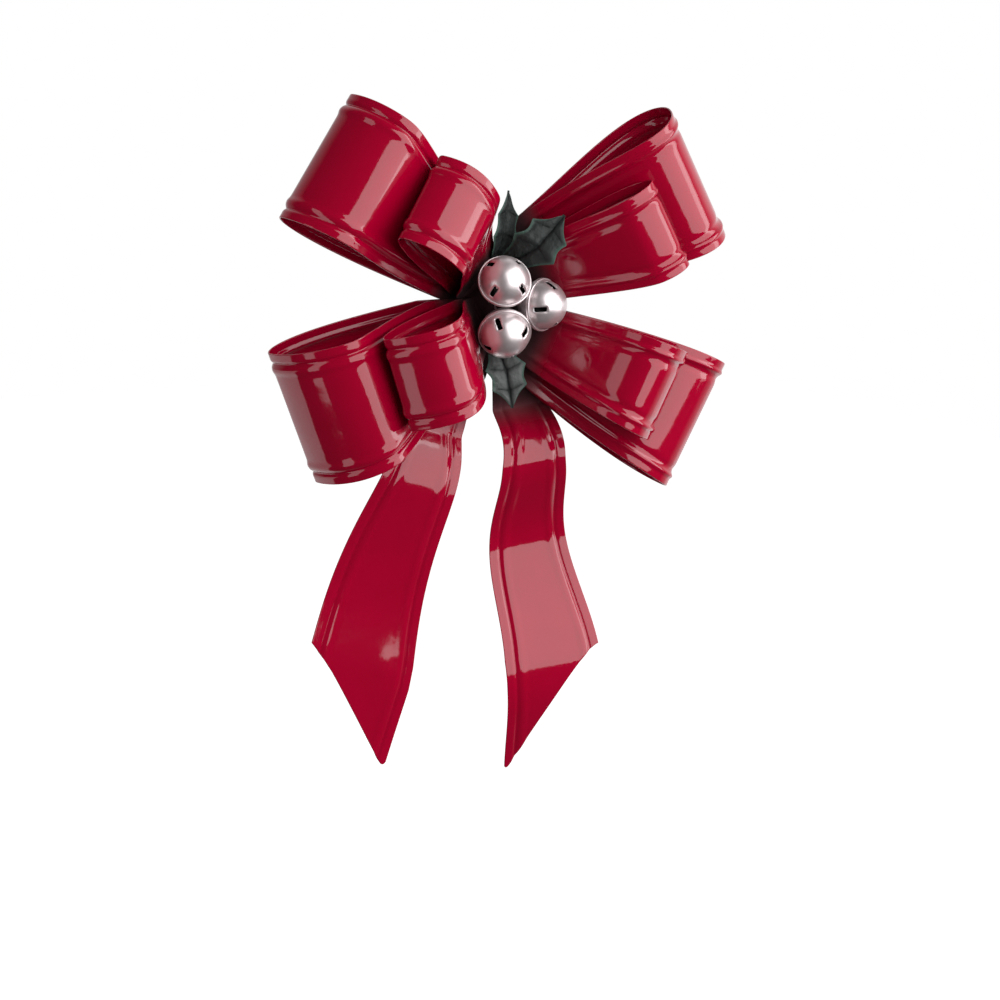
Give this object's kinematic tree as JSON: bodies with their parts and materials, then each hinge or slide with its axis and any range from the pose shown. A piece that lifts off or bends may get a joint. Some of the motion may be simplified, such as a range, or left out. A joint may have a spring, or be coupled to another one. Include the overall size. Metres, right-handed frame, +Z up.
{
  "type": "gift bow",
  "caption": "Rigid gift bow of red-lacquered sheet metal, with embossed ribbon loops and wavy tails riveted to a flat disc, stamped holly leaves and a cluster of jingle bells on a tie wire.",
  "frame": {"origin": "middle of the flat rear face of the backing disc", "axes": "+Z up along the bow's height, +Y out of the rear face, the bow faces -Y"},
  "size_m": [0.2366, 0.0662, 0.333],
  "materials": {
    "red_lacquer": "deep red gloss lacquer",
    "holly_green": "matte dark green paint",
    "satin_silver": "satin silver plating",
    "steel": "plain steel"
  },
  "bodies": {
    "bow": {"backing_disc": "red_lacquer", "upper_left_rivet": "steel", "upper_right_rivet": "steel", "lower_left_rivet": "steel", "lower_right_rivet": "steel", "upper_left_outer_loop": "red_lacquer", "upper_left_inner_loop": "red_lacquer", "upper_right_outer_loop": "red_lacquer", "upper_right_inner_loop": "red_lacquer", "lower_left_outer_loop": "red_lacquer", "lower_left_inner_loop": "red_lacquer", "lower_right_outer_loop": "red_lacquer", "lower_right_inner_loop": "red_lacquer", "left_tail": "red_lacquer", "right_tail": "red_lacquer", "upper_holly_leaf": "holly_green", "right_holly_leaf": "holly_green", "lower_holly_leaf": "holly_green", "bell_tie_wire": "steel"},
    "upper_bell": {"upper_bell_front_shell": "satin_silver", "upper_bell_rear_shell": "satin_silver", "upper_bell_eye": "steel"},
    "upper_bell_pellet": {"upper_bell_pellet": "steel"},
    "lower_bell": {"lower_bell_front_shell": "satin_silver", "lower_bell_rear_shell": "satin_silver", "lower_bell_eye": "steel"},
    "lower_bell_pellet": {"lower_bell_pellet": "steel"},
    "right_bell": {"right_bell_front_shell": "satin_silver", "right_bell_rear_shell": "satin_silver", "right_bell_eye": "steel"},
    "right_bell_pellet": {"right_bell_pellet": "steel"}
  },
  "joints": [
    {"name": "upper_bell_swing", "type": "hinge", "parent": "bow", "child": "upper_bell", "pos_m": [-0.00435, -0.01388, 0.00555], "axis": [-0.866, 0, -0.5], "range_deg": [0, 8]},
    {"name": "upper_bell_pellet_travel", "type": "slide", "parent": "upper_bell", "child": "upper_bell_pellet", "axis": [0, 0, 1], "range_m": [0, 0.016]},
    {"name": "lower_bell_swing", "type": "hinge", "parent": "bow", "child": "lower_bell", "pos_m": [-0.00435, -0.01388, -0.00675], "axis": [0.866, 0, -0.5], "range_deg": [0, 3]},
    {"name": "lower_bell_pellet_travel", "type": "slide", "parent": "lower_bell", "child": "lower_bell_pellet", "axis": [0, 0, 1], "range_m": [0, 0.016]},
    {"name": "right_bell_swing", "type": "hinge", "parent": "bow", "child": "right_bell", "pos_m": [0.0063, -0.01038, -0.0006], "axis": [0, 0, 1], "range_deg": [0, 3]},
    {"name": "right_bell_pellet_travel", "type": "slide", "parent": "right_bell", "child": "right_bell_pellet", "axis": [0, 0, 1], "range_m": [0, 0.016]}
  ]
}
